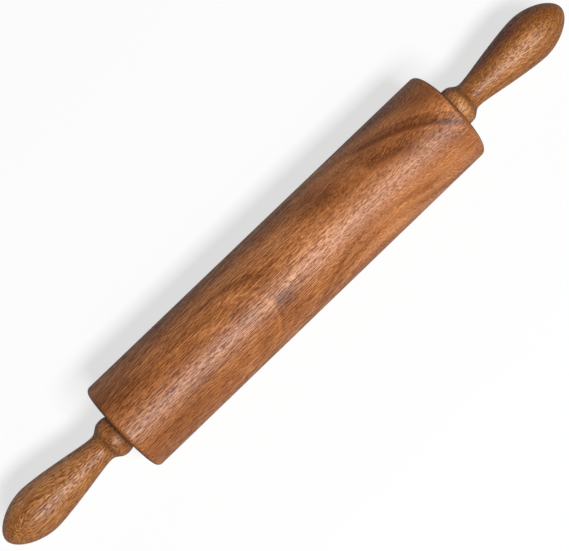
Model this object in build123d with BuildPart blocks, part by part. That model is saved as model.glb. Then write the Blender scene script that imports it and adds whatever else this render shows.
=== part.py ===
from build123d import *
import math
import os

# A rolling pin with two turned handles. The solid wooden barrel spins on a ball bearing at each
# end. One steel axle carries both bearings and is screwed into both handles, so the handles stay
# still in the hands while the barrel rolls over the dough.
# Sizes are in millimetres. The pin lies along X, its middle at the origin, and +Z is up.

# The whole pin
handle_length = 87.7
barrel_length = 255.0
barrel_diameter = 58.8
barrel_rim_radius = 3.0
collar_gap = 0.8

# Outline of a handle: a bead at the barrel, a thin neck, and a grip that swells to a blunt tip
collar_face_diameter = 21.6
collar_diameter = 24.3
collar_crest_distance = 5.1
neck_distance = 15.3
neck_diameter = 16.8
grip_diameter = 29.3
grip_tip_length = 25.3

# Ball bearing: seven balls in a snap-in cage, between two races, with a shield on each side
bearing_bore_diameter = 8.0
bearing_outer_diameter = 22.0
bearing_width = 7.0
bearing_chamfer = 0.3
bearing_recess = 1.5
ball_diameter = 3.969
ball_count = 7
ball_play = 0.05
groove_depth = 0.58
shield_ledge = 0.6
shield_gap = 0.25
shield_thickness = 0.3
shield_inset = 0.5
cage_thickness = 1.6
cage_back_wall = 0.4
cage_play = 0.1

# Barrel bore
through_bore_diameter = 13.0
seat_mouth_chamfer = 0.5

# Axle
axle_diameter = 10.0
thread_relief_depth = 0.6
thread_relief_width = 1.2
thread_length_in_handle = 45.0
axle_tip_chamfer = 1.0
spacer_diameter = 11.6

# Brass insert with barbed rings, pressed into the handle
insert_diameter = 12.0
insert_length = 11.0
insert_mouth_chamfer = 0.6
barb_count = 5
barb_depth = 0.45

# Room left between pieces
press_clearance = 0.01
thread_clearance = 0.05
drill_room = 2.0
drill_point_angle = 118.0

# Each point of the cove is a share of the way from the collar's crest to the neck, and a share of
# the drop in radius there. The taper's points run from the neck to the thickest part of the grip.
# The tip's two points pull its curve, as shares of the tip's length and of the grip's radius.
collar_cove_shares = [(0.20, 0.045), (0.37, 0.18), (0.56, 0.54), (0.78, 0.90)]
grip_taper_shares = [(0.10, 0.065), (0.29, 0.30), (0.57, 0.645), (0.86, 0.935)]
grip_tip_shares = [(0.49, 1.0), (1.0, 0.48)]
# A barb's slope takes this share of the distance from one barb to the next
barb_slope_share = 0.75
# The groove's radius and the reach of the cage's lips past a ball's middle, as shares of the ball's
# radius
groove_radius_share = 1.04
cage_lip_share = 0.6

# Places along X, measured from the middle of the pin towards either end
barrel_end = barrel_length / 2
bearing_front = barrel_end - bearing_recess
bearing_middle = bearing_front - bearing_width / 2
bearing_back = bearing_front - bearing_width
collar_face = barrel_end + collar_gap
collar_crest = collar_face + collar_crest_distance
neck = collar_face + neck_distance
handle_tip = collar_face + handle_length
grip_crest = handle_tip - grip_tip_length
axle_tip = collar_face + thread_length_in_handle
insert_end = collar_face + insert_length
bore_bottom = axle_tip + drill_room

# Radii
pitch_radius = (bearing_bore_diameter + bearing_outer_diameter) / 4
ball_radius = ball_diameter / 2
groove_radius = ball_radius * groove_radius_share
inner_groove_bottom = pitch_radius - ball_radius - ball_play
outer_groove_bottom = pitch_radius + ball_radius + ball_play
inner_land_radius = inner_groove_bottom + groove_depth
outer_land_radius = outer_groove_bottom - groove_depth
shield_radius = outer_land_radius + shield_ledge
shield_bore_radius = inner_land_radius + shield_gap
pocket_radius = ball_radius + cage_play
journal_radius = bearing_bore_diameter / 2 - press_clearance
thread_radius = journal_radius
bearing_seat_radius = bearing_outer_diameter / 2 + press_clearance
threaded_bore_radius = thread_radius + thread_clearance
insert_bore_radius = insert_diameter / 2 + press_clearance
shield_seat_radius = shield_radius + press_clearance

# Lengths along X that follow from the sizes above
groove_reach = math.sqrt(groove_radius**2 - (groove_radius - groove_depth) ** 2)
shield_seat_depth = shield_inset + shield_thickness
cage_back = pocket_radius + cage_back_wall
relief_start = collar_face - thread_relief_width
barb_pitch = insert_length / barb_count
drill_point_length = threaded_bore_radius / math.tan(math.radians(drill_point_angle / 2))

os.makedirs("parts", exist_ok=True)


def outline_plane(outward):
    """The plane of the pin's half outlines, where x runs from the middle to one end."""
    return Plane(origin=(0, 0, 0), x_dir=(outward, 0, 0), z_dir=(0, -outward, 0))


def cross_plane(outward, distance):
    """The plane across the pin at a distance from the middle, facing that end."""
    return Plane(origin=(outward * distance, 0, 0), x_dir=(0, 1, 0), z_dir=(outward, 0, 0))


def points_between(start, finish, shares):
    """Points at the given shares of the way from start to finish, along each axis by itself."""
    return [
        (
            start[0] + along_share * (finish[0] - start[0]),
            start[1] + rise_share * (finish[1] - start[1]),
        )
        for along_share, rise_share in shares
    ]


# Barrel: a plain cylinder with softened rims, bored through for the axle and recessed at both ends
# for the bearings
with BuildPart(Plane.YZ) as barrel:
    Cylinder(radius=barrel_diameter / 2, height=barrel_length)
    fillet(barrel.edges().filter_by(GeomType.CIRCLE), radius=barrel_rim_radius)
    Hole(radius=through_bore_diameter / 2)
    for outward in (-1, 1):
        with BuildSketch(cross_plane(outward, barrel_end)):
            Circle(bearing_seat_radius)
        extrude(amount=bearing_back - barrel_end, mode=Mode.SUBTRACT)
    for end in (0, -1):
        end_face = barrel.faces().sort_by(Axis.X)[end]
        chamfer(end_face.inner_wires()[0].edges(), length=seat_mouth_chamfer)
barrel.part.label = "barrel"
export_step(barrel.part, "parts/barrel.step")

# Axle: a thick middle whose shoulders stop the bearings, then a journal, a relief and a plain
# cylinder for the thread at each end
with BuildPart() as axle:
    with BuildSketch(outline_plane(1)):
        with BuildLine():
            half_outline = Polyline(
                (0, axle_diameter / 2),
                (bearing_back, axle_diameter / 2),
                (bearing_back, journal_radius),
                (relief_start, journal_radius),
                (relief_start, journal_radius - thread_relief_depth),
                (collar_face, journal_radius - thread_relief_depth),
                (collar_face, thread_radius),
                (axle_tip - axle_tip_chamfer, thread_radius),
                (axle_tip, thread_radius - axle_tip_chamfer),
                (axle_tip, 0),
            )
            mirror(half_outline, about=Plane.YZ)
            Line((-axle_tip, 0), (axle_tip, 0))
        make_face()
    revolve(axis=Axis.X)
axle.part.label = "axle"
export_step(axle.part, "parts/axle.step")

# The pieces that both ends have
for side, outward in (("left", -1), ("right", 1)):
    bearing_plane = cross_plane(outward, bearing_middle)

    # Handle: turned bead, neck and grip, bored for the insert and for the axle's thread
    crest_point = (collar_crest, collar_diameter / 2)
    neck_point = (neck, neck_diameter / 2)
    grip_point = (grip_crest, grip_diameter / 2)
    tip_pull_points = [
        (grip_crest + along_share * grip_tip_length, radius_share * grip_diameter / 2)
        for along_share, radius_share in grip_tip_shares
    ]
    with BuildPart() as handle:
        with BuildSketch(outline_plane(outward)):
            with BuildLine():
                TangentArc(crest_point, (collar_face, collar_face_diameter / 2), tangent=(-1, 0))
                Spline(
                    crest_point,
                    *points_between(crest_point, neck_point, collar_cove_shares),
                    neck_point,
                    tangents=[(1, 0), (1, 0)],
                )
                Spline(
                    neck_point,
                    *points_between(neck_point, grip_point, grip_taper_shares),
                    grip_point,
                    tangents=[(1, 0), (1, 0)],
                )
                Bezier(grip_point, *tip_pull_points, (handle_tip, 0))
                Polyline(
                    (handle_tip, 0),
                    (bore_bottom + drill_point_length, 0),
                    (bore_bottom, threaded_bore_radius),
                    (insert_end, threaded_bore_radius),
                    (insert_end, insert_bore_radius),
                    (collar_face, insert_bore_radius),
                    (collar_face, collar_face_diameter / 2),
                )
            make_face()
        revolve(axis=Axis.X)
    handle.part.label = f"handle_{side}"
    export_step(handle.part, f"parts/handle_{side}.step")

    # Insert: a brass sleeve whose barbs grip the wood, with a plain bore for its thread
    with BuildPart() as insert:
        with BuildSketch(outline_plane(outward)):
            with BuildLine():
                barb_points = []
                for barb in range(barb_count):
                    barb_start = collar_face + barb * barb_pitch
                    barb_slope_start = barb_start + (1 - barb_slope_share) * barb_pitch
                    barb_points += [
                        (barb_start, insert_diameter / 2),
                        (barb_slope_start, insert_diameter / 2),
                        (barb_start + barb_pitch, insert_diameter / 2 - barb_depth),
                    ]
                Polyline(
                    (collar_face, threaded_bore_radius + insert_mouth_chamfer),
                    *barb_points,
                    (insert_end, threaded_bore_radius),
                    (collar_face + insert_mouth_chamfer, threaded_bore_radius),
                    close=True,
                )
            make_face()
        revolve(axis=Axis.X)
    insert.part.label = f"insert_{side}"
    export_step(insert.part, f"parts/insert_{side}.step")

    # Spacer: a steel ring that the handle clamps against the inner race
    with BuildPart() as spacer:
        with BuildSketch(cross_plane(outward, bearing_front)):
            Circle(spacer_diameter / 2)
            Circle(bearing_bore_diameter / 2, mode=Mode.SUBTRACT)
        extrude(amount=collar_face - bearing_front)
    spacer.part.label = f"spacer_{side}"
    export_step(spacer.part, f"parts/spacer_{side}.step")

    # Races: rings with a round groove for the balls. The outer one has a step on each side that
    # the shields sit in.
    with BuildPart() as inner_race:
        with BuildSketch(outline_plane(outward)):
            with BuildLine():
                Polyline(
                    (bearing_middle - groove_reach, inner_land_radius),
                    (bearing_back, inner_land_radius),
                    (bearing_back, bearing_bore_diameter / 2 + bearing_chamfer),
                    (bearing_back + bearing_chamfer, bearing_bore_diameter / 2),
                    (bearing_front - bearing_chamfer, bearing_bore_diameter / 2),
                    (bearing_front, bearing_bore_diameter / 2 + bearing_chamfer),
                    (bearing_front, inner_land_radius),
                    (bearing_middle + groove_reach, inner_land_radius),
                )
                ThreePointArc(
                    (bearing_middle + groove_reach, inner_land_radius),
                    (bearing_middle, inner_groove_bottom),
                    (bearing_middle - groove_reach, inner_land_radius),
                )
            make_face()
        revolve(axis=Axis.X)
    inner_race.part.label = f"inner_race_{side}"
    export_step(inner_race.part, f"parts/inner_race_{side}.step")

    with BuildPart() as outer_race:
        with BuildSketch(outline_plane(outward)):
            with BuildLine():
                Polyline(
                    (bearing_middle - groove_reach, outer_land_radius),
                    (bearing_back + shield_seat_depth, outer_land_radius),
                    (bearing_back + shield_seat_depth, shield_seat_radius),
                    (bearing_back, shield_seat_radius),
                    (bearing_back, bearing_outer_diameter / 2 - bearing_chamfer),
                    (bearing_back + bearing_chamfer, bearing_outer_diameter / 2),
                    (bearing_front - bearing_chamfer, bearing_outer_diameter / 2),
                    (bearing_front, bearing_outer_diameter / 2 - bearing_chamfer),
                    (bearing_front, shield_seat_radius),
                    (bearing_front - shield_seat_depth, shield_seat_radius),
                    (bearing_front - shield_seat_depth, outer_land_radius),
                    (bearing_middle + groove_reach, outer_land_radius),
                )
                ThreePointArc(
                    (bearing_middle + groove_reach, outer_land_radius),
                    (bearing_middle, outer_groove_bottom),
                    (bearing_middle - groove_reach, outer_land_radius),
                )
            make_face()
        revolve(axis=Axis.X)
    outer_race.part.label = f"outer_race_{side}"
    export_step(outer_race.part, f"parts/outer_race_{side}.step")

    # Balls: separate solids round the bearing's middle
    with BuildPart(bearing_plane) as balls:
        with PolarLocations(pitch_radius, ball_count):
            Sphere(ball_radius)
    balls.part.label = f"balls_{side}"
    export_step(balls.part, f"parts/balls_{side}.step")

    # Cage: a crown whose round pockets open towards the handle and hold the balls apart
    with BuildPart(bearing_plane) as cage:
        with BuildSketch(cross_plane(outward, bearing_middle - cage_back)):
            Circle(pitch_radius + cage_thickness / 2)
            Circle(pitch_radius - cage_thickness / 2, mode=Mode.SUBTRACT)
        extrude(amount=cage_back + ball_radius * cage_lip_share)
        with PolarLocations(pitch_radius, ball_count):
            Sphere(pocket_radius, mode=Mode.SUBTRACT)
    cage.part.label = f"cage_{side}"
    export_step(cage.part, f"parts/cage_{side}.step")

    # Shields: thin rings in the outer race's steps, clear of the inner race
    with BuildPart() as outer_shield:
        with BuildSketch(cross_plane(outward, bearing_front - shield_seat_depth)):
            Circle(shield_radius)
            Circle(shield_bore_radius, mode=Mode.SUBTRACT)
        extrude(amount=shield_thickness)
    outer_shield.part.label = f"outer_shield_{side}"
    export_step(outer_shield.part, f"parts/outer_shield_{side}.step")

    with BuildPart() as inner_shield:
        with BuildSketch(cross_plane(outward, bearing_back + shield_seat_depth)):
            Circle(shield_radius)
            Circle(shield_bore_radius, mode=Mode.SUBTRACT)
        extrude(amount=-shield_thickness)
    inner_shield.part.label = f"inner_shield_{side}"
    export_step(inner_shield.part, f"parts/inner_shield_{side}.step")
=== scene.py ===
"""Dresses the rolling pin: turned wooden barrel and handles, bright metal inside, pale floor."""

import math

import bpy
import numpy as np
from bpy.props import FloatProperty, FloatVectorProperty, IntProperty, PointerProperty
from mathutils import Matrix, Vector


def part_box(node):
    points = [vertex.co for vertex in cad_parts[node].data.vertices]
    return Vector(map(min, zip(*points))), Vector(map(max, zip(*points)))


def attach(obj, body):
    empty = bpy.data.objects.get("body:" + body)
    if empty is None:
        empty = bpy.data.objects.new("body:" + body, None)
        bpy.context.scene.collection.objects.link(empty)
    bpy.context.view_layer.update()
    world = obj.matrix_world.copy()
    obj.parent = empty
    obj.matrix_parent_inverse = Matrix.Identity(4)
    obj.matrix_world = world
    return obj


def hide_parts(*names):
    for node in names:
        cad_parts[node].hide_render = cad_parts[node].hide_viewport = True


bl_info = {
    "name": "Turned Rolling Pin",
    "version": (1, 0, 0),
    "blender": (4, 5, 0),
    "location": "View3D > Sidebar > Rolling Pin",
    "description": "Wooden barrel, turned handles and ball bearings of a rolling pin",
    "category": "Object",
}

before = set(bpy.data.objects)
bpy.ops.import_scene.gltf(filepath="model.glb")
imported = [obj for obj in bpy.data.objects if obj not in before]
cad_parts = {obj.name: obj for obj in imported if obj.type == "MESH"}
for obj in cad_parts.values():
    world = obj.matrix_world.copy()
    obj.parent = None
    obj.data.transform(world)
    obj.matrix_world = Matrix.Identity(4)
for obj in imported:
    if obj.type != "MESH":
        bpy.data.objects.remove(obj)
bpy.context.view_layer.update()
barrel_low, barrel_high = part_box("barrel")
handle_low, handle_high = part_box("handle_right")
bearing_low, bearing_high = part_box("outer_race_right")
insert_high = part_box("insert_right")[1]
axle_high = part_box("axle")[1]

MM = 0.001
MM_PER_METRE = 1000.0

# Details of the turned shapes that nobody would change by hand, in metres and degrees
PRESS_ROOM = 0.01 * MM
SEAT_CHAMFER = 0.5 * MM
BORE_PAST_AXLE = 2.0 * MM
DRILL_HALF_ANGLE = 59.0
SHARP_EDGE_ANGLE = 32.0

# Curves of the handle: share of the way along each, share of its change of radius
COVE = [(0, 0), (0.20, 0.045), (0.37, 0.18), (0.56, 0.54), (0.78, 0.90), (1, 1)]
TAPER = [(0, 0), (0.10, 0.065), (0.29, 0.30), (0.57, 0.645), (0.86, 0.935), (1, 1)]
# Pull of the tip's two inner corners on its curve: share of the tip's length, share of the radius
GRIP_PULL, TIP_PULL = 0.49, 0.48

# The woods of the barrel and of the handles. Every length is in mm, in the frame's own axes.
# growth and fibres: inputs of the groups growth_layers and wood_fibres
# fray: how far the fibres shift the edges of the layers
# layer_span: distances from the pith at which the tones start and end
# tones: place in that span, and the grey there: 0 is the darkest shade, 1 the palest
# layers_per_mm: how close the layers lie
# thin_layers: distance at which closer ones start, the stretch that they fill, and their growth
# inner_clearness: share of their strength that the layers have near the pith
# layers and figure: how much layers, streaks, mottling and dashes change the tone
# patches: centre, extent and change of tone of each soft patch; two of the right handle's
# patches are painted shade and a painted highlight
# marked_layers: distance from the pith, width, patch that shows it, and change of tone
# rings: distance from the middle along X, half width, inner radius and strength of
# dark rings of painted shade; at the barrel's rim it is painted shade and darker end grain
# together
# tints: strength of pores and flecks
# varnish and gloss_roughness: the varnish coat's weight on pale fibres, and its roughness
BARREL_WOOD = {
    "growth": {
        "Pith": (0, -0.153, 2.665),
        "Pith Lean": (0, 2.986, -4.965),
        "Pith Bend": (0, -5.244, 7.43),
        "Pith Curl": (0, 1.846, -3.734),
        "Waviness": 0.10,
        "Fibre Lean": 0.1,
    },
    "fibres": {
        "Dash Length": 7.5,
        "Dash Width": 0.42,
        "Streak Length": 55.0,
        "Streak Width": 1.7,
        "Fan Start": 10.0,
        "Fan Full": 60.0,
        "Upper Turn": math.radians(-11.0),
        "Lower Turn": math.radians(13.0),
    },
    "fray": 0.25,
    "layer_span": (14.0, 34.0),
    "tones": [
        (0.00, 0.36),
        (0.30, 0.42),
        (0.50, 0.46),
        (0.548, 0.49),
        (0.575, 0.48),
        (0.610, 0.47),
        (0.632, 0.52),
        (0.662, 0.58),
        (0.678, 0.56),
        (0.698, 0.54),
        (0.7025, 0.26),
        (0.711, 0.54),
        (0.718, 0.26),
        (0.7225, 0.30),
        (0.732, 0.72),
        (0.742, 0.66),
        (0.756, 0.28),
        (0.80, 0.50),
        (1.00, 0.36),
    ],
    "layers_per_mm": 0.6,
    "thin_layers": (25.0, 3.7, 3.2),
    "inner_clearness": 0.4,
    "layers": 0.6,
    "figure": {"Streaks": 0.85, "Mottle": 0.35, "Dashes": 0.5},
    "patches": [
        ((-115, 0, 29), (55, 24, 20), 0.05),
        ((-115, 16, 24), (32, 15, 14), -0.40),
        ((-40, 10, 27), (30, 10, 10), 0.15),
        ((30, 0, 29), (50, 22, 22), 0.15),
        ((65, -19, 22), (55, 18, 18), 0.30),
        ((32, 14, 25), (30, 13, 13), -0.35),
        ((75, 27, 12), (45, 14, 14), -0.25),
        ((112, 16, 24), (26, 14, 14), -0.25),
        ((-10, -16, 24), (26, 16, 14), -0.22),
        ((-13, -10, 27), (10, 8, 8), -0.40),
        ((34, 20, 22), (13, 5, 7), -0.28),
        ((43, 15, 25), (13, 5, 7), -0.30),
        ((54, 9, 28), (15, 5, 6), -0.25),
        ((-76, -12, 27), (24, 5, 7), -0.14),
        ((-98, -19, 22), (24, 5, 8), -0.14),
        ((55, 25, 15), (40, 14, 16), 0.40),
        ((-112, 26, 14), (40, 14, 16), 0.30),
        ((112, -24, 18), (30, 16, 16), 0.35),
    ],
    "marked_layers": [
        (28.30, 0.10, (104, 12, 26), (55, 28, 24), -0.85),
        (27.95, 0.10, (84, 8, 27), (22, 20, 20), -0.50),
        (26.25, 0.38, (-30, 14, 25), (38, 18, 18), -0.35),
        (27.38, 0.35, (0, 16, 24), (34, 18, 18), 0.15),
        (28.12, 0.10, (60, -16, 24), (75, 14, 16), -0.15),
    ],
    # At the rim: painted shade where the handle's collar meets the barrel, and darker end grain
    "rings": [(127.6, 2.0, 25.0, 0.9)],
    "tints": {"Pores": 0.58, "Flecks": 0.62},
    "varnish": 0.55,
    "gloss_roughness": 0.44,
}
HANDLE_WOOD = {
    "fibres": {
        "Dash Length": 7.0,
        "Dash Width": 0.45,
        "Streak Length": 40.0,
        "Streak Width": 1.2,
        "Fan Start": 0.0,
        "Fan Full": 50.0,
        "Upper Turn": 0.0,
        "Lower Turn": 0.0,
    },
    "fray": 0.25,
    "layer_span": (15.0, 60.0),
    "tones": [(0.0, 0.45), (0.2, 0.55), (0.4, 0.45), (0.6, 0.55), (0.8, 0.42), (1.0, 0.5)],
    "layers_per_mm": 0.5,
    "thin_layers": (15.0, 0.0, 0.0),
    "inner_clearness": 1.0,
    "layers": 0.4,
    "figure": {"Streaks": 1.1, "Mottle": 0.5, "Dashes": 0.5},
    "marked_layers": [],
    "rings": [
        # Painted shade on the face beside the barrel, and painted shade in the cove behind the
        # bead
        (handle_low.x * MM_PER_METRE, 2.6, -3.0, 0.95),
        (handle_low.x * MM_PER_METRE + 10.5, 2.8, -3.0, 0.35),
    ],
    "tints": {"Pores": 0.68, "Flecks": 0.72},
    "varnish": 0.85,
    "gloss_roughness": 0.50,
}
HANDLE_STICKS = {
    "left": {
        "growth": {
            "Pith": (0, 22.0, -30.0),
            "Pith Lean": (0, -2.0, 3.0),
            "Pith Bend": (0, 1.0, 0.5),
            "Waviness": 0.25,
            "Fibre Lean": 0.5,
        },
        "patches": [
            ((-180, 12, 8), (45, 13, 13), 0.30),
            ((-175, 0, 0), (90, 40, 40), 0.20),
            ((-133, 0, 12), (6, 14, 9), -0.10),
        ],
    },
    "right": {
        "growth": {
            "Pith": (0, -26.0, -24.0),
            "Pith Lean": (0, 3.0, 2.0),
            "Pith Bend": (0, -1.0, 1.5),
            "Waviness": 0.25,
            "Fibre Lean": 0.5,
        },
        "patches": [
            # Painted shade on the handle's shaded side, then a painted highlight along its top
            ((180, 12, 8), (60, 12, 12), -0.50),
            ((180, -4, 12), (60, 9, 12), 0.25),
            ((133, -3, 10), (7, 14, 12), 0.40),
        ],
    },
}

# What pores, flecks and the rings of painted shade do to red, green and blue under them
FIBRE_TINTS = {"Pores": (0.24, 0.13, 0.05), "Flecks": (1.45, 1.80, 2.10)}
PAINTED_SHADE_TINT = (0.12, 0.08, 0.06)
# Weight of each noise that makes the dashes, and its shift across the fibres in mm
DASH_TAPS = ((0.9, 0.0, 0.0), (-0.45, 0.42, 0.36), (-0.45, 0.42, -0.36))
# Dashes below their middle are pores, and those above it are flecks and carry more varnish
DASH_MIDDLE, FULL_PORE, FULL_FLECK = 0.50, 0.44, 0.56

# name, lean from straight overhead towards -Y in degrees, then distance, length and width in
# metres and power in watts
LAMPS = [
    ("long_softbox", 23.0, 2.6, 1.8, 0.60, 79.0),
    ("side_softbox", 50.0, 3.0, 4.4, 1.6, 9.0),
    ("left_softbox", -75.0, 3.0, 4.4, 1.6, 13.0),
]
ROOM_LIGHT = 0.03
FLOOR_HALF = 6.0
FLOOR_GLOW = 0.70
# The pin runs up to the right in the picture, its far end turned a little away
CAMERA_SLOPE, CAMERA_TILT = math.radians(43.88), math.radians(3.0)
CAMERA_DISTANCE = 0.841
CAMERA_SHIFT = (-1.42 * MM, -2.92 * MM)
LENS_MM, SENSOR_MM = 94.84, 36.0


# Sizes and colours that a user would change


def length(name, description, default):
    """A length that the sidebar shows in the scene's own unit."""
    return FloatProperty(name=name, description=description, default=default, unit="LENGTH")


def shade(name, description, default):
    """A colour that the sidebar shows as a swatch."""
    return FloatVectorProperty(
        name=name, description=description, default=default, subtype="COLOR", min=0.0, max=1.0
    )


class RollingPinSizes(bpy.types.PropertyGroup):
    """Sizes of the wooden pieces; the places come from the CAD frame"""

    barrel_length: length(
        "Barrel Length", "Length of the barrel between its end faces", barrel_high.x - barrel_low.x
    )
    barrel_diameter: length(
        "Barrel Diameter", "Diameter of the rolling surface", barrel_high.z - barrel_low.z
    )
    rim_radius: length(
        "Rim Radius", "Radius of the softened edge at each end of the barrel", 3.0 * MM
    )
    bore_diameter: length(
        "Bore Diameter", "Diameter of the hole that the axle passes through", 13.0 * MM
    )
    collar_face_diameter: length(
        "Collar Face Diameter", "Diameter of the handle's flat face beside the barrel", 21.6 * MM
    )
    collar_diameter: length(
        "Collar Diameter", "Diameter of the handle's bead at its crest", 24.3 * MM
    )
    collar_crest_distance: length(
        "Collar Crest Distance",
        "Distance from the handle's face to the crest of the bead",
        5.1 * MM,
    )
    neck_distance: length(
        "Neck Distance", "Distance from the handle's face to its thinnest place", 15.3 * MM
    )
    neck_diameter: length(
        "Neck Diameter", "Diameter of the handle at its thinnest place", 16.8 * MM
    )
    grip_tip_length: length(
        "Grip Tip Length", "Distance from the thickest part of the grip to its tip", 25.3 * MM
    )
    thread_bore_diameter: length(
        "Thread Bore Diameter", "Diameter of the hole that the axle's thread goes into", 8.08 * MM
    )
    sides: IntProperty(
        name="Sides",
        description="Number of faces round each turned piece",
        default=192,
        min=24,
        max=512,
    )


class RollingPinColours(bpy.types.PropertyGroup):
    """Colours of the wood and of the pieces inside it"""

    barrel_dark: shade(
        "Barrel Dark Wood", "Colour of the barrel's darkest growth lines", (0.170, 0.042, 0.006)
    )
    barrel_middle: shade("Barrel Wood", "Main colour of the barrel", (0.380, 0.120, 0.029))
    barrel_light: shade(
        "Barrel Light Wood", "Colour of the barrel's palest bands", (0.620, 0.232, 0.080)
    )
    handle_dark: shade(
        "Handle Dark Wood", "Colour of the handles' darkest growth lines", (0.130, 0.022, 0.002)
    )
    handle_middle: shade("Handle Wood", "Main colour of the handles", (0.300, 0.094, 0.014))
    handle_light: shade(
        "Handle Light Wood", "Colour of the handles' palest bands", (0.540, 0.215, 0.064)
    )
    axle_steel: shade("Axle Steel", "Colour of the axle and its spacers", (0.56, 0.57, 0.58))
    bearing_steel: shade("Bearing Steel", "Colour of the races and balls", (0.62, 0.62, 0.62))
    shield_steel: shade("Shield Steel", "Colour of the bearing shields", (0.50, 0.50, 0.51))
    cage_nylon: shade("Cage Nylon", "Colour of the ball cages", (0.55, 0.47, 0.33))
    insert_brass: shade("Insert Brass", "Colour of the threaded inserts", (0.72, 0.52, 0.22))


# Surfaces


def smooth_radius(x, knots_x, knots_r):
    """Radius along x: the cubic spline through the knots that has zero slope at both ends.

    Between two knots h apart the radius is the cubic whose second derivative runs straight from
    one knot's value m to the next, and the values m make the slopes agree at every knot.
    """
    h = np.diff(knots_x)
    slope = np.diff(knots_r) / h
    n = len(knots_x)
    equations = np.zeros((n, n))
    inner = np.arange(1, n - 1)
    equations[inner, inner - 1] = h[:-1]
    equations[inner, inner] = 2 * (h[:-1] + h[1:])
    equations[inner, inner + 1] = h[1:]
    equations[0, :2] = 2 * h[0], h[0]
    equations[-1, -2:] = h[-1], 2 * h[-1]
    turns = np.concatenate([[slope[0]], np.diff(slope), [-slope[-1]]]) * 6
    m = np.linalg.solve(equations, turns)
    k = np.clip(np.searchsorted(knots_x, x, side="right") - 1, 0, n - 2)
    a, b = knots_x[k + 1] - x, x - knots_x[k]
    return (
        (m[k] * a**3 + m[k + 1] * b**3) / (6 * h[k])
        + (knots_r[k] / h[k] - m[k] * h[k] / 6) * a
        + (knots_r[k + 1] / h[k] - m[k + 1] * h[k] / 6) * b
    )


def curve_points(inner, outer, shares, count):
    """Points from the outer place back to the inner one, on the smooth curve between the two.

    Its knots lie at the inner place plus the shares, along x and along the radius, of the way to
    the outer one, and the spline of smooth_radius passes through them.
    """
    knots = np.array(inner) + np.array(shares) * (np.array(outer) - np.array(inner))
    x = np.linspace(outer[0], inner[0], count)
    return np.column_stack([x, smooth_radius(x, knots[:, 0], knots[:, 1])])


def arc_points(centre, radius, start, end, count):
    """Points on an arc: the centre plus the radius times (cos, sin) of evenly spaced angles."""
    angles = np.radians(np.linspace(start, end, count))
    return np.column_stack(
        [centre[0] + radius * np.cos(angles), centre[1] + radius * np.sin(angles)]
    )


def bezier_points(corners, count):
    """Points of a Bezier curve from its last corner to its first.

    Each point is the sum of the four corners, weighted by (1-t)^3, 3(1-t)^2 t, 3(1-t) t^2 and t^3.
    """
    t = np.linspace(0, 1, count)[::-1, None]
    first, second, third, last = (np.array(corner) for corner in corners)
    return (
        (1 - t) ** 3 * first
        + 3 * (1 - t) ** 2 * t * second
        + 3 * (1 - t) * t**2 * third
        + t**3 * last
    )


def turned_mesh(name, profile, sides, closed):
    """Carries a profile round the X axis.

    The point (x, r) at turn angle t becomes (x, -r sin t, r cos t). A closed profile joins its
    last point to its first and makes a ring. An open one starts and ends on the axis, and each of
    its ends becomes a single vertex with a fan of triangles.
    """
    turn = np.linspace(0, 2 * np.pi, sides, endpoint=False)
    rows = profile if closed else profile[1:-1]
    grid = np.empty((len(rows), sides, 3))
    grid[..., 0] = rows[:, :1]
    grid[..., 1] = -rows[:, 1:] * np.sin(turn)
    grid[..., 2] = rows[:, 1:] * np.cos(turn)
    vertices = grid.reshape(-1, 3)
    row = np.arange(len(rows) if closed else len(rows) - 1)[:, None]
    col = np.arange(sides)[None, :]
    here, there = row * sides, (row + 1) % len(rows) * sides
    step = (col + 1) % sides
    quads = np.stack([here + col, there + col, there + step, here + step], -1).reshape(-1, 4)
    fans = np.empty((0, 3), int)
    if not closed:
        first, last = len(vertices), len(vertices) + 1
        vertices = np.vstack([vertices, [profile[0, 0], 0, 0], [profile[-1, 0], 0, 0]])
        around, onward = col[0], step[0]
        end = (len(rows) - 1) * sides
        fans = np.vstack(
            [
                np.column_stack([np.full(sides, first), around, onward]),
                np.column_stack([np.full(sides, last), end + onward, end + around]),
            ]
        )
    # the sign of the volume inside the faces tells whether they point outwards
    a, b, c, d = np.moveaxis(vertices[quads], 1, 0)
    if np.sum(a * (np.cross(b - a, c - a) + np.cross(c - a, d - a))) < 0:
        quads, fans = quads[:, ::-1], fans[:, ::-1]
    mesh = bpy.data.meshes.new(name)
    mesh.vertices.add(len(vertices))
    mesh.vertices.foreach_set("co", vertices.ravel())
    mesh.loops.add(quads.size + fans.size)
    mesh.loops.foreach_set("vertex_index", np.concatenate([quads.ravel(), fans.ravel()]))
    mesh.polygons.add(len(quads) + len(fans))
    starts = np.concatenate([np.arange(len(quads)) * 4, quads.size + np.arange(len(fans)) * 3])
    mesh.polygons.foreach_set("loop_start", starts)
    mesh.polygons.foreach_set("use_smooth", np.ones(len(starts), bool))
    mesh.update(calc_edges=True)
    mesh.set_sharp_from_angle(angle=math.radians(SHARP_EDGE_ANGLE))
    if mesh.validate():
        raise RuntimeError(f"{name}: the turned surface has faulty faces")
    return mesh


def put_in_scene(mesh, body, material, node):
    """Makes the piece from its mesh, in place of the CAD node that it stands for."""
    piece = bpy.data.objects.new(mesh.name, mesh)
    bpy.context.scene.collection.objects.link(piece)
    mesh.materials.append(material)
    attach(piece, body)
    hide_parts(node)


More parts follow.
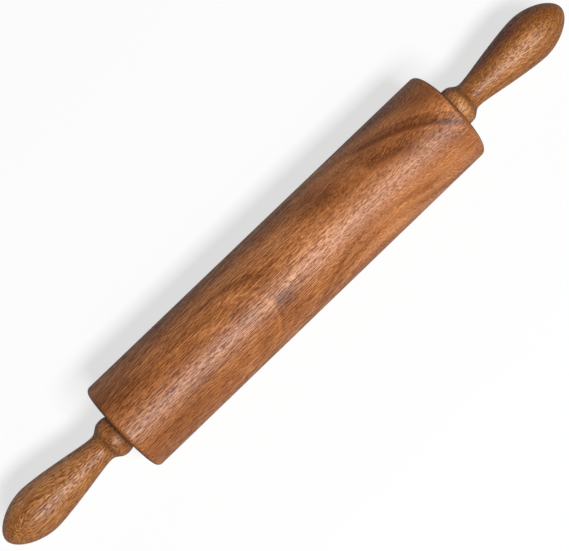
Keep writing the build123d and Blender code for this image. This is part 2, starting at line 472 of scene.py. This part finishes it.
def barrel_profile(sizes):
    """Closed section of the barrel, as (x, radius).

    From the middle the radius stays level, turns a quarter circle round the rim, falls straight
    down the end face, steps in at the bearing's seat and runs back level along the bore. The
    other half is the same with x reversed.
    """
    side_points, rim_points, face_points, bore_points = 60, 15, 10, 12
    end, outside = sizes.barrel_length / 2, sizes.barrel_diameter / 2
    rim, bore = sizes.rim_radius, sizes.bore_diameter / 2
    seat = (bearing_high.z - bearing_low.z) / 2 + PRESS_ROOM
    seat_floor = bearing_low.x
    half = np.vstack(
        [
            np.linspace((0, outside), (end - rim, outside), side_points)[:-1],
            arc_points((end - rim, outside - rim), rim, 90, 0, rim_points),
            np.linspace((end, outside - rim), (end, seat + SEAT_CHAMFER), face_points)[1:],
            [(end - SEAT_CHAMFER, seat), (seat_floor, seat)],
            np.linspace((seat_floor, bore), (0, bore), bore_points),
        ]
    )
    mirrored = half[::-1] * (-1, 1)
    return np.vstack([half, mirrored[1:-1]])


def handle_profile(sizes, outward):
    """Open section of a handle, as (x, radius), from its tip to the bottom of its bore.

    The tip is a Bezier curve, grip and cove are smooth curves from the neck to the thickest place
    and to the bead's crest, and the bead's inner side is an arc that leaves its crest level and
    ends at the rim of the flat face. The bore steps in behind the insert and ends in the drill's
    cone.
    """
    tip_points, taper_points, cove_points, bead_points = 40, 80, 36, 16
    face, tip = handle_low.x, handle_high.x
    grip_radius = (handle_high.z - handle_low.z) / 2
    crest = (face + sizes.collar_crest_distance, sizes.collar_diameter / 2)
    neck = (face + sizes.neck_distance, sizes.neck_diameter / 2)
    grip = (tip - sizes.grip_tip_length, grip_radius)
    corners = [
        grip,
        (grip[0] + GRIP_PULL * sizes.grip_tip_length, grip_radius),
        (tip, TIP_PULL * grip_radius),
        (tip, 0),
    ]
    drop = crest[1] - sizes.collar_face_diameter / 2
    reach = crest[0] - face
    bead_radius = (reach**2 + drop**2) / (2 * drop)
    bead_centre = (crest[0], crest[1] - bead_radius)
    bead_end = 90 + math.degrees(math.asin(reach / bead_radius))
    seat = insert_high.z + PRESS_ROOM
    bore = sizes.thread_bore_diameter / 2
    bottom = axle_high.x + BORE_PAST_AXLE
    half = np.vstack(
        [
            bezier_points(corners, tip_points)[:-1],
            curve_points(neck, grip, TAPER, taper_points)[:-1],
            curve_points(crest, neck, COVE, cove_points)[:-1],
            arc_points(bead_centre, bead_radius, 90, bead_end, bead_points),
            [(face, seat), (insert_high.x, seat), (insert_high.x, bore), (bottom, bore)],
            [(bottom + bore / math.tan(math.radians(DRILL_HALF_ANGLE)), 0)],
        ]
    )
    return half * (outward, 1)


# Nodes


def set_inputs(tree, node, values):
    """Sets each named input of a node to its value, or links it to its socket."""
    for key, value in values.items():
        if isinstance(value, bpy.types.NodeSocket):
            tree.links.new(value, node.inputs[key])
        else:
            node.inputs[key].default_value = value


def add(tree, kind, values, **settings):
    """A node of a kind, with its settings and inputs."""
    node = tree.nodes.new(f"ShaderNode{kind}")
    for key, value in settings.items():
        setattr(node, key, value)
    set_inputs(tree, node, values)
    return node


def math_node(tree, operation, *values):
    """The result of a Math node on the given values or sockets."""
    return add(tree, "Math", dict(enumerate(values)), operation=operation).outputs[0]


def vector_node(tree, operation, *values):
    """The vector that a Vector Math node makes of the given values or sockets."""
    return add(tree, "VectorMath", dict(enumerate(values)), operation=operation).outputs[0]


def times(tree, vector, number):
    """A vector made longer by a number, which may be a socket."""
    return add(tree, "VectorMath", {0: vector, "Scale": number}, operation="SCALE").outputs[0]


def size_of(tree, vector):
    """The length of a vector."""
    return add(tree, "VectorMath", {0: vector}, operation="LENGTH").outputs["Value"]


def axis_distance(tree, place):
    """Distance of a place from the X axis."""
    return size_of(tree, vector_node(tree, "MULTIPLY", place, (0, 1, 1)))


def along_x(tree, place):
    """How far a place lies along X."""
    return add(tree, "SeparateXYZ", {0: place}).outputs[0]


def spread(tree, value, low, high, new_low, new_high, smooth=False):
    """Carries a value from one range to another, held at the new range's ends."""
    return add(
        tree,
        "MapRange",
        {0: value, 1: low, 2: high, 3: new_low, 4: new_high},
        interpolation_type="SMOOTHSTEP" if smooth else "LINEAR",
    ).outputs[0]


def soft_fall(tree, share):
    """One at nought, falling smoothly to nought at one."""
    return spread(tree, share, 0.0, 1.0, 1.0, 0.0, smooth=True)


def ridge(tree, value, middle, half_width):
    """One where the value is at its middle, falling smoothly to nought a half width away."""
    away = math_node(tree, "ABSOLUTE", math_node(tree, "SUBTRACT", value, middle))
    return soft_fall(tree, math_node(tree, "DIVIDE", away, half_width))


def swing(tree, value, strength):
    """How far a value from 0 to 1 lies from its middle, times a strength."""
    return math_node(tree, "MULTIPLY", math_node(tree, "SUBTRACT", value, 0.5), strength)


def noise(tree, where, scale=1.0, detail=2.0, roughness=0.5, dimensions="3D"):
    """A noise value from 0 to 1, at a place or, for one dimension, at a number."""
    key = "W" if dimensions == "1D" else "Vector"
    return add(
        tree,
        "TexNoise",
        {key: where, "Scale": scale, "Detail": detail, "Roughness": roughness},
        noise_dimensions=dimensions,
    ).outputs[0]


def ramp(tree, value, stops):
    """The colour that a Color Ramp with the given (position, colour) stops has at a value."""
    node = add(tree, "ValToRGB", {0: value})
    elements = node.color_ramp.elements
    while len(elements) < len(stops):
        elements.new(0.5)
    for element, (position, colour) in zip(elements, stops):
        element.position = position
        element.color = (*colour, 1)
    return node.outputs[0]


def mix_colours(tree, factor, first, second):
    """Two colours mixed by a factor."""
    first, second = (
        colour if isinstance(colour, bpy.types.NodeSocket) else (*colour, 1)
        for colour in (first, second)
    )
    return add(tree, "Mix", {0: factor, 6: first, 7: second}, data_type="RGBA").outputs[2]


def tinted(tree, colour, tint, mask, strength):
    """A colour whose channels are multiplied by a tint, as far as a mask times a strength says."""
    factor = math_node(tree, "MULTIPLY", mask, strength)
    return mix_colours(tree, factor, colour, vector_node(tree, "MULTIPLY", colour, tint))


# Node groups that materials share


def new_group(name, inputs, outputs):
    """A node group, the sockets that it is given, and the node that takes its results.

    Inputs are names with defaults, and a default of three numbers makes a vector socket. Outputs
    are names with kinds.
    """
    group = bpy.data.node_groups.new(name, "ShaderNodeTree")
    for label, default in inputs.items():
        kind = "Vector" if isinstance(default, tuple) else "Float"
        socket = group.interface.new_socket(
            label, in_out="INPUT", socket_type=f"NodeSocket{kind}"
        )
        socket.default_value = default
    for label, kind in outputs.items():
        group.interface.new_socket(label, in_out="OUTPUT", socket_type=f"NodeSocket{kind}")
    given = group.nodes.new("NodeGroupInput").outputs
    return group, given, group.nodes.new("NodeGroupOutput")


def use_group(tree, name, values):
    """Places the shared node group of that name, built when it is first asked for."""
    node = tree.nodes.new("ShaderNodeGroup")
    node.node_tree = bpy.data.node_groups.get(name) or GROUP_BUILDERS[name]()
    set_inputs(tree, node, values)
    return node.outputs


def build_growth_group():
    """Where a point lies in the tree: its distance in mm from the curved line of the pith.

    The pith runs along X, and its place across X is a cubic in x, counted in steps of 100 mm. A
    slow noise bends the layers. Straight is the place with a share of the pith's place taken out,
    because the fibres follow the pith.
    """
    group, given, result = new_group(
        "growth_layers",
        {
            "Position": (0, 0, 0),
            "Pith": (0, 0, 0),
            "Pith Lean": (0, 0, 0),
            "Pith Bend": (0, 0, 0),
            "Pith Curl": (0, 0, 0),
            "Waviness": 0.2,
            "Fibre Lean": 0.5,
        },
        {"Distance": "Float", "Straight": "Vector", "Position mm": "Vector"},
    )
    hundredth, slow_scale = 0.01, (0.030, 0.075, 0.075)
    place = times(group, given["Position"], MM_PER_METRE)
    steps_along = math_node(group, "MULTIPLY", along_x(group, place), hundredth)
    pith, power = given["Pith"], steps_along
    for key in ("Pith Lean", "Pith Bend", "Pith Curl"):
        pith = vector_node(group, "ADD", pith, times(group, given[key], power))
        power = math_node(group, "MULTIPLY", power, steps_along)
    distance = axis_distance(group, vector_node(group, "SUBTRACT", place, pith))
    slow = noise(group, vector_node(group, "MULTIPLY", place, slow_scale), detail=1.5)
    distance = math_node(group, "ADD", distance, swing(group, slow, given["Waviness"]))
    lean = times(group, pith, given["Fibre Lean"])
    straight = vector_node(group, "SUBTRACT", place, lean)
    set_inputs(
        group, result, {"Distance": distance, "Straight": straight, "Position mm": place}
    )
    return group


def over_fan(group, given, along, before, inside):
    """A value that goes from one number to another over the fan's stretch of X."""
    return spread(group, along, given["Fan Start"], given["Fan Full"], before, inside)


def turned_in_fan(group, given, place):
    """The place turned about Z, by the upper turn on one side and by the lower on the other.

    Each turn starts where a soft step, along x or y, rises above a scatter noise.
    """
    scatter_scale, low, high = (0.12, 0.4, 0.4), 0.3, 0.7
    side_near, side_far = 4.0, 10.0
    axes = add(group, "SeparateXYZ", {0: place}).outputs
    scatter = noise(group, vector_node(group, "MULTIPLY", place, scatter_scale), detail=1.0)
    angle = 0.0
    for side, sign in (("Upper Turn", 1), ("Lower Turn", -1)):
        step = spread(group, axes[1], sign * side_near, sign * side_far, low, high)
        on_side = math_node(group, "GREATER_THAN", step, scatter)
        angle = math_node(group, "MULTIPLY_ADD", on_side, given[side], angle)
    step = over_fan(group, given, axes[0], low, high)
    angle = math_node(group, "MULTIPLY", angle, math_node(group, "GREATER_THAN", step, scatter))
    values = {"Vector": place, "Angle": angle}
    return add(group, "VectorRotate", values, rotation_type="Z_AXIS").outputs[0]


def stretched(group, given, place, size, long_share, cross_share, shift):
    """A shifted place divided by shares of a size's length along X and of its width across it."""
    long_way = math_node(group, "DIVIDE", 1.0 / long_share, given[f"{size} Length"])
    cross_way = math_node(group, "DIVIDE", 1.0 / cross_share, given[f"{size} Width"])
    scale = add(group, "CombineXYZ", {0: long_way, 1: cross_way, 2: cross_way}).outputs[0]
    return vector_node(group, "MULTIPLY", vector_node(group, "ADD", place, shift), scale)


def dashes(group, given, place, long_share, cross_share, shift):
    """Noise less its mean at two places half a millimetre to the side, so dashes alternate."""
    value = 0.5
    for weight, step_y, step_z in DASH_TAPS:
        there = (shift[0], shift[1] + step_y, shift[2] + step_z)
        where = stretched(group, given, place, "Dash", long_share, cross_share, there)
        here = noise(group, where, detail=1.0)
        value = math_node(group, "MULTIPLY_ADD", here, weight, value)
    return value


def build_fibre_group():
    """Fine figure of the wood: dashes of two sizes along the fibres, streaks and slow mottling.

    Past the fan's start along X the fibres on either side of the middle turn towards each other,
    and the dashes get shorter and fainter.
    """
    group, given, result = new_group(
        "wood_fibres",
        {
            "Straight": (0, 0, 0),
            "Dash Length": 5.0,
            "Dash Width": 0.8,
            "Streak Length": 40.0,
            "Streak Width": 1.8,
            "Fan Start": 0.0,
            "Fan Full": 50.0,
            "Upper Turn": 0.0,
            "Lower Turn": 0.0,
        },
        {key: "Float" for key in ("Dashes", "Pores", "Flecks", "Streaks", "Mottle")},
    )
    fine_length, fine_width, fine_place = 0.32, 0.85, (37, 11, 5)
    fine_before_fan, fine_in_fan, clearness_in_fan = 0.40, 0.80, 0.75
    streak_place, mottle_scale = (71, 3, 29), (0.028, 0.07, 0.07)
    place = given["Straight"]
    along = along_x(group, place)
    turned = turned_in_fan(group, given, place)
    coarse = dashes(group, given, turned, 1.0, 1.0, (0, 0, 0))
    fine = dashes(group, given, turned, fine_length, fine_width, fine_place)
    fine_share = over_fan(group, given, along, fine_before_fan, fine_in_fan)
    both = add(group, "Mix", {0: fine_share, 2: coarse, 3: fine}).outputs[0]
    clear = over_fan(group, given, along, 1.0, clearness_in_fan)
    long_place = stretched(group, given, place, "Streak", 1.0, 1.0, streak_place)
    slow_place = vector_node(group, "MULTIPLY", place, mottle_scale)
    results = {
        "Dashes": both,
        "Pores": spread(group, both, DASH_MIDDLE, FULL_PORE, 0.0, clear, smooth=True),
        "Flecks": spread(group, both, DASH_MIDDLE, FULL_FLECK, 0.0, clear, smooth=True),
        "Streaks": noise(group, long_place, detail=3.0, roughness=0.75),
        "Mottle": noise(group, slow_place, detail=3.0, roughness=0.55),
    }
    set_inputs(group, result, results)
    return group


def build_patch_group():
    """A soft patch: one at its centre, falling to nought at its extent along each axis, in mm."""
    group, given, result = new_group(
        "soft_patch",
        {"Position mm": (0, 0, 0), "Centre": (0, 0, 0), "Extent": (1, 1, 1)},
        {"Mask": "Float"},
    )
    offset = vector_node(group, "SUBTRACT", given["Position mm"], given["Centre"])
    reach = size_of(group, vector_node(group, "DIVIDE", offset, given["Extent"]))
    set_inputs(group, result, {"Mask": soft_fall(group, reach)})
    return group


def build_marked_layer_group():
    """One strong growth layer: a soft ridge at its distance from the pith, in its own patch."""
    group, given, result = new_group(
        "marked_layer",
        {
            "Distance": 0.0,
            "Level": 1.0,
            "Width": 1.0,
            "Position mm": (0, 0, 0),
            "Centre": (0, 0, 0),
            "Extent": (1, 1, 1),
        },
        {"Mask": "Float"},
    )
    full_from = 0.4
    layer = ridge(group, given["Distance"], given["Level"], given["Width"])
    patch = use_group(
        group, "soft_patch", {key: given[key] for key in ("Position mm", "Centre", "Extent")}
    )
    near = spread(group, patch["Mask"], 0.0, full_from, 0.0, 1.0)
    set_inputs(group, result, {"Mask": math_node(group, "MULTIPLY", layer, near)})
    return group


def build_painted_shade_band_group():
    """A soft ring of painted shade round the X axis: full at its distance from the middle, nought
    past its width.

    It fades out over the last two millimetres above its inner radius, so a flat end face stays
    clear.
    """
    group, given, result = new_group(
        "painted_shade_band",
        {"Position mm": (0, 0, 0), "Place": 0.0, "Half Width": 1.0, "Inner Radius": 0.0},
        {"Mask": "Float"},
    )
    fade_length = 2.0
    place, inner = given["Position mm"], given["Inner Radius"]
    from_middle = math_node(group, "ABSOLUTE", along_x(group, place))
    band = ridge(group, from_middle, given["Place"], given["Half Width"])
    clear_of_face = math_node(group, "ADD", inner, fade_length)
    radius = axis_distance(group, place)
    outside = spread(group, radius, inner, clear_of_face, 0.0, 1.0, smooth=True)
    set_inputs(group, result, {"Mask": math_node(group, "MULTIPLY", band, outside)})
    return group


def build_lathe_group():
    """Fine marks of a lathe round the X axis: noise that changes only with x and radius."""
    group, given, result = new_group(
        "lathe_marks",
        {"Position": (0, 0, 0), "Lines per mm": 6.0},
        {"Lines": "Float", "Smudges": "Float"},
    )
    smudges_per_mm = 0.35
    place = times(group, given["Position"], MM_PER_METRE)
    marks = add(
        group, "CombineXYZ", {0: along_x(group, place), 1: axis_distance(group, place)}
    ).outputs[0]
    scaled = times(group, marks, given["Lines per mm"])
    lines = noise(group, scaled, detail=3.0, roughness=0.6)
    smudges = noise(group, place, smudges_per_mm, detail=4.0, roughness=0.6)
    set_inputs(group, result, {"Lines": lines, "Smudges": smudges})
    return group


GROUP_BUILDERS = {
    "growth_layers": build_growth_group,
    "wood_fibres": build_fibre_group,
    "soft_patch": build_patch_group,
    "marked_layer": build_marked_layer_group,
    "painted_shade_band": build_painted_shade_band_group,
    "lathe_marks": build_lathe_group,
}


# Materials


def new_material(name):
    """An empty material with its shader and the object's own coordinates."""
    material = bpy.data.materials.new(name)
    material.use_nodes = True
    tree = material.node_tree
    tree.nodes.clear()
    shader = tree.nodes.new("ShaderNodeBsdfPrincipled")
    output = tree.nodes.new("ShaderNodeOutputMaterial")
    tree.links.new(shader.outputs[0], output.inputs[0])
    where = tree.nodes.new("ShaderNodeTexCoord").outputs["Object"]
    return material, tree, shader, where


def bumped(tree, height, strength, distance):
    """A normal that leans as a height changes."""
    values = {"Strength": strength, "Distance": distance, "Height": height}
    return add(tree, "Bump", values).outputs[0]


def layer_change(tree, distance, frayed, wood):
    """What the thin growth layers add to the tone.

    They are noise over their running number, which rises with the distance from the pith and, past
    the start of the thin ones, with the square of the way past it. Near the pith they are fainter.
    """
    fainter_within = 5.0
    start, reach, rate = wood["thin_layers"]
    past = math_node(tree, "MAXIMUM", math_node(tree, "SUBTRACT", frayed, start), 0.0)
    past = math_node(tree, "MINIMUM", past, reach)
    thin = math_node(tree, "MULTIPLY", math_node(tree, "MULTIPLY", past, past), rate)
    number = math_node(tree, "MULTIPLY_ADD", frayed, wood["layers_per_mm"], thin)
    layers = noise(tree, number, roughness=0.6, dimensions="1D")
    clearness = spread(
        tree, distance, start - fainter_within, start, wood["inner_clearness"], 1.0, smooth=True
    )
    return math_node(tree, "MULTIPLY", swing(tree, layers, wood["layers"]), clearness)


def wood_tone(tree, growth, fibres, wood):
    """The wood's tone, from nought for its darkest shade to one for its palest.

    The distance from the pith picks it, after the fibres have frayed the edges of the layers. Thin
    layers, the fibres' figure, soft patches and marked layers are then added.
    """
    place = growth["Position mm"]
    fray = swing(tree, fibres["Dashes"], wood["fray"])
    frayed = math_node(tree, "ADD", growth["Distance"], fray)
    depth = spread(tree, frayed, *wood["layer_span"], 0.0, 1.0)
    greys = ramp(tree, depth, [(position, (grey,) * 3) for position, grey in wood["tones"]])
    changes = [layer_change(tree, growth["Distance"], frayed, wood)]
    for key, strength in wood["figure"].items():
        changes.append(swing(tree, fibres[key], strength))
    for centre, extent, strength in wood["patches"]:
        values = {"Position mm": place, "Centre": centre, "Extent": extent}
        mask = use_group(tree, "soft_patch", values)["Mask"]
        changes.append(math_node(tree, "MULTIPLY", mask, strength))
    for level, width, centre, extent, strength in wood["marked_layers"]:
        values = {
            "Distance": frayed,
            "Level": level,
            "Width": width,
            "Position mm": place,
            "Centre": centre,
            "Extent": extent,
        }
        mask = use_group(tree, "marked_layer", values)["Mask"]
        changes.append(math_node(tree, "MULTIPLY", mask, strength))
    tone = add(tree, "SeparateColor", {0: greys}).outputs[0]
    for change in changes:
        tone = math_node(tree, "ADD", tone, change)
    return tone


def wood_material(name, wood, shades):
    """Varnished solid wood, with its dark, middle and light shades.

    Pores darken the colour under them and flecks lighten it, rings of painted shade darken it at
    the barrel's rims and at the handles' faces and coves, and the varnish shines more on the pale
    fibres than over the pores.
    """
    dull_pores, uneven_sheen = 0.25, 0.12
    bump_strength, bump_depth = 0.6, 0.22 * MM
    thin_varnish, varnish_from = 0.35, 0.42
    material, tree, shader, where = new_material(name)
    growth = use_group(tree, "growth_layers", {"Position": where, **wood["growth"]})
    fibres = use_group(
        tree, "wood_fibres", {"Straight": growth["Straight"], **wood["fibres"]}
    )
    tone = wood_tone(tree, growth, fibres, wood)
    colour = ramp(tree, tone, list(zip((0.0, 0.5, 1.0), shades)))
    for key, strength in wood["tints"].items():
        colour = tinted(tree, colour, FIBRE_TINTS[key], fibres[key], strength)
    # Rings of painted shade darken the colour at the joints and in the coves
    for place, half_width, inner_radius, strength in wood["rings"]:
        values = {
            "Position mm": growth["Position mm"],
            "Place": place,
            "Half Width": half_width,
            "Inner Radius": inner_radius,
        }
        mask = use_group(tree, "painted_shade_band", values)["Mask"]
        colour = tinted(tree, colour, PAINTED_SHADE_TINT, mask, strength)
    uneven = swing(tree, fibres["Mottle"], uneven_sheen)
    rough = math_node(tree, "ADD", uneven, wood["gloss_roughness"])
    rough = math_node(tree, "MULTIPLY_ADD", fibres["Pores"], dull_pores, rough)
    full, thin = wood["varnish"], thin_varnish * wood["varnish"]
    varnish = spread(tree, fibres["Dashes"], varnish_from, FULL_FLECK, thin, full, smooth=True)
    surface = {
        "Base Color": colour,
        "Roughness": rough,
        "Normal": bumped(tree, fibres["Dashes"], bump_strength, bump_depth),
        "IOR": 1.48,
        "Specular IOR Level": 0.3,
        "Coat Weight": varnish,
        "Coat Roughness": wood["gloss_roughness"],
        "Coat IOR": 1.5,
    }
    set_inputs(tree, shader, surface)
    return material


def metal_material(name, colour, roughness, lines_per_mm, line_depth):
    """Turned or pressed metal with fine lathe lines and faint smudges."""
    smudge_share, smooth_share, rough_share, bump_strength = 0.80, 0.7, 1.4, 0.3
    material, tree, shader, where = new_material(name)
    marks = use_group(tree, "lathe_marks", {"Position": where, "Lines per mm": lines_per_mm})
    dull = [channel * smudge_share for channel in colour]
    low, high = roughness * smooth_share, roughness * rough_share
    surface = {
        "Base Color": mix_colours(tree, marks["Smudges"], colour, dull),
        "Roughness": spread(tree, marks["Lines"], 0.2, 0.8, low, high),
        "Normal": bumped(tree, marks["Lines"], bump_strength, line_depth),
        "Metallic": 1.0,
    }
    set_inputs(tree, shader, surface)
    return material


def nylon_material(name, colour):
    """Moulded nylon: milky colour with faint flow clouds and a fine matte skin."""
    clouds_per_metre, grains_per_metre = 260.0, 5200.0
    pale_share, deep_share, bump_strength, skin_depth = 1.12, 0.88, 0.2, 0.01 * MM
    material, tree, shader, where = new_material(name)
    clouds = noise(tree, where, clouds_per_metre, detail=3.0)
    pale = [min(1.0, channel * pale_share) for channel in colour]
    deep = [channel * deep_share for channel in colour]
    skin = noise(tree, where, grains_per_metre)
    surface = {
        "Base Color": mix_colours(tree, clouds, deep, pale),
        "Roughness": spread(tree, clouds, 0.3, 0.7, 0.42, 0.55),
        "Normal": bumped(tree, skin, bump_strength, skin_depth),
    }
    set_inputs(tree, shader, surface)
    return material


def dress_nodes(material, *nodes):
    """Gives CAD nodes their material."""
    for node in nodes:
        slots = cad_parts[node].material_slots
        if not slots:
            raise RuntimeError(f"CAD node {node} has no material slot")
        for material_slot in slots:
            material_slot.material = material


# Stage


def lay_floor(scene):
    """A pale painted square under the barrel.

    The camera sees paint that glows and takes half the shadow, and the wood mirrors plain paint.
    """
    pale, paler, seen_paint, clouds_per_metre = (0.40,) * 3, (0.42,) * 3, (0.26,) * 3, 3.0
    corners = [(-1, -1), (1, -1), (1, 1), (-1, 1)]
    mesh = bpy.data.meshes.new("floor")
    mesh.from_pydata(
        [(x * FLOOR_HALF, y * FLOOR_HALF, barrel_low.z) for x, y in corners], [], [(0, 1, 2, 3)]
    )
    floor = bpy.data.objects.new("floor", mesh)
    scene.collection.objects.link(floor)
    material, tree, shader, where = new_material("floor_paint")
    paint = mix_colours(tree, noise(tree, where, clouds_per_metre), pale, paler)
    seen = add(tree, "LightPath", {}).outputs["Is Camera Ray"]
    surface = {
        "Base Color": mix_colours(tree, seen, paint, seen_paint),
        "Roughness": 0.9,
        "Specular IOR Level": 0.1,
        "Emission Color": (1, 1, 1, 1),
        "Emission Strength": spread(tree, seen, 0.0, 1.0, 0.0, FLOOR_GLOW),
    }
    set_inputs(tree, shader, surface)
    mesh.materials.append(material)


def hang(scene, name, data, place, right, up, back):
    """Puts a lamp or camera at its place, looking away from its back."""
    holder = bpy.data.objects.new(name, data)
    turned = Matrix((right, up, back)).transposed().to_4x4()
    holder.matrix_world = Matrix.Translation(place) @ turned
    scene.collection.objects.link(holder)
    return holder


def hang_lamps(scene):
    """Long soft boxes along the pin, and a white room that is almost dark."""
    along = Vector((1, 0, 0))
    for name, lean, distance, long_side, short_side, power in LAMPS:
        lamp = bpy.data.lights.new(name, "AREA")
        lamp.shape = "RECTANGLE"
        lamp.size, lamp.size_y, lamp.energy = long_side, short_side, power
        away = Vector((0, -math.sin(math.radians(lean)), math.cos(math.radians(lean))))
        hang(scene, name, lamp, away * distance, along, away.cross(along), away)
    world = bpy.data.worlds.new("soft_room")
    world.use_nodes = True
    sky = world.node_tree.nodes["Background"]
    sky.inputs["Color"].default_value = (1, 1, 1, 1)
    sky.inputs["Strength"].default_value = ROOM_LIGHT
    scene.world = world
    scene.view_settings.view_transform = "Standard"


def aim_camera(scene):
    """The camera looks almost straight down and sees the pin run up to the right."""
    run, rise = math.cos(CAMERA_SLOPE), math.sin(CAMERA_SLOPE)
    level, lean = math.cos(CAMERA_TILT), math.sin(CAMERA_TILT)
    right = Vector((run * level, -rise, run * lean))
    up = Vector((rise * level, run, rise * lean))
    back = Vector((-lean, 0, level))
    place = right * CAMERA_SHIFT[0] + up * CAMERA_SHIFT[1] + back * CAMERA_DISTANCE
    camera = bpy.data.cameras.new("camera")
    camera.lens, camera.sensor_width = LENS_MM, SENSOR_MM
    camera.clip_start, camera.clip_end = 0.01, 50.0
    scene.camera = hang(scene, "camera", camera, place, right, up, back)


# Operators


class TurnBarrel(bpy.types.Operator):
    """Turn the wooden barrel with its rounded rims, bearing seats and bore"""

    bl_idname = "rolling_pin.turn_barrel"
    bl_label = "Turn Barrel"

    def execute(self, context):
        sizes, colours = context.scene.rolling_pin_sizes, context.scene.rolling_pin_colours
        shades = (colours.barrel_dark, colours.barrel_middle, colours.barrel_light)
        material = wood_material("satin_barrel_wood", BARREL_WOOD, shades)
        mesh = turned_mesh("barrel_turned", barrel_profile(sizes), sizes.sides, closed=True)
        put_in_scene(mesh, "barrel", material, "barrel")
        return {"FINISHED"}


class TurnHandles(bpy.types.Operator):
    """Turn both handles with bead, neck and grip, each from its own stick of wood"""

    bl_idname = "rolling_pin.turn_handles"
    bl_label = "Turn Handles"

    def execute(self, context):
        sizes, colours = context.scene.rolling_pin_sizes, context.scene.rolling_pin_colours
        shades = (colours.handle_dark, colours.handle_middle, colours.handle_light)
        for side, outward in (("left", -1), ("right", 1)):
            wood = HANDLE_WOOD | HANDLE_STICKS[side]
            material = wood_material(f"satin_handle_{side}_wood", wood, shades)
            profile = handle_profile(sizes, outward)
            mesh = turned_mesh(f"handle_{side}_turned", profile, sizes.sides, closed=False)
            put_in_scene(mesh, "handles", material, f"handle_{side}")
        return {"FINISHED"}


class FinishAxle(bpy.types.Operator):
    """Give the axle, its spacers and the brass inserts their metal"""

    bl_idname = "rolling_pin.finish_axle"
    bl_label = "Finish Axle"

    def execute(self, context):
        colours = context.scene.rolling_pin_colours
        steel = metal_material(
            "brushed_axle_steel",
            colours.axle_steel,
            roughness=0.30,
            lines_per_mm=5.0,
            line_depth=0.012 * MM,
        )
        brass = metal_material(
            "turned_insert_brass",
            colours.insert_brass,
            roughness=0.28,
            lines_per_mm=4.0,
            line_depth=0.012 * MM,
        )
        dress_nodes(steel, "axle", "spacer_left", "spacer_right")
        dress_nodes(brass, "insert_left", "insert_right")
        return {"FINISHED"}


class FinishBearings(bpy.types.Operator):
    """Give races, balls, shields and cages of both ball bearings their finish"""

    bl_idname = "rolling_pin.finish_bearings"
    bl_label = "Finish Bearings"

    def execute(self, context):
        colours = context.scene.rolling_pin_colours
        ground = metal_material(
            "polished_bearing_steel",
            colours.bearing_steel,
            roughness=0.12,
            lines_per_mm=14.0,
            line_depth=0.002 * MM,
        )
        pressed = metal_material(
            "pressed_shield_steel",
            colours.shield_steel,
            roughness=0.32,
            lines_per_mm=7.0,
            line_depth=0.006 * MM,
        )
        nylon = nylon_material("moulded_cage_nylon", colours.cage_nylon)
        for side in ("left", "right"):
            dress_nodes(ground, f"inner_race_{side}", f"outer_race_{side}", f"balls_{side}")
            dress_nodes(pressed, f"outer_shield_{side}", f"inner_shield_{side}")
            dress_nodes(nylon, f"cage_{side}")
        return {"FINISHED"}


class SetStage(bpy.types.Operator):
    """Lay the pale floor, hang the soft lights and aim the camera"""

    bl_idname = "rolling_pin.set_stage"
    bl_label = "Set Stage"

    def execute(self, context):
        lay_floor(context.scene)
        hang_lamps(context.scene)
        aim_camera(context.scene)
        return {"FINISHED"}


class RollingPinPanel(bpy.types.Panel):
    """Steps that dress the rolling pin"""

    bl_idname = "VIEW3D_PT_rolling_pin"
    bl_label = "Rolling Pin"
    bl_space_type = "VIEW_3D"
    bl_region_type = "UI"
    bl_category = "Rolling Pin"

    def draw(self, context):
        for group in (context.scene.rolling_pin_sizes, context.scene.rolling_pin_colours):
            column = self.layout.column(align=True)
            for key in group.__annotations__:
                column.prop(group, key)
        for operator in steps:
            self.layout.operator(operator.bl_idname)


steps = (SetStage, TurnBarrel, TurnHandles, FinishAxle, FinishBearings)
classes = (RollingPinSizes, RollingPinColours, *steps, RollingPinPanel)


def register():
    for cls in classes:
        bpy.utils.register_class(cls)
    bpy.types.Scene.rolling_pin_sizes = PointerProperty(type=RollingPinSizes)
    bpy.types.Scene.rolling_pin_colours = PointerProperty(type=RollingPinColours)


def unregister():
    del bpy.types.Scene.rolling_pin_colours
    del bpy.types.Scene.rolling_pin_sizes
    for cls in reversed(classes):
        bpy.utils.unregister_class(cls)


def main():
    register()
    bpy.ops.rolling_pin.set_stage()
    bpy.ops.rolling_pin.turn_barrel()
    bpy.ops.rolling_pin.turn_handles()
    bpy.ops.rolling_pin.finish_axle()
    bpy.ops.rolling_pin.finish_bearings()


if __name__ == "__main__":
    main()
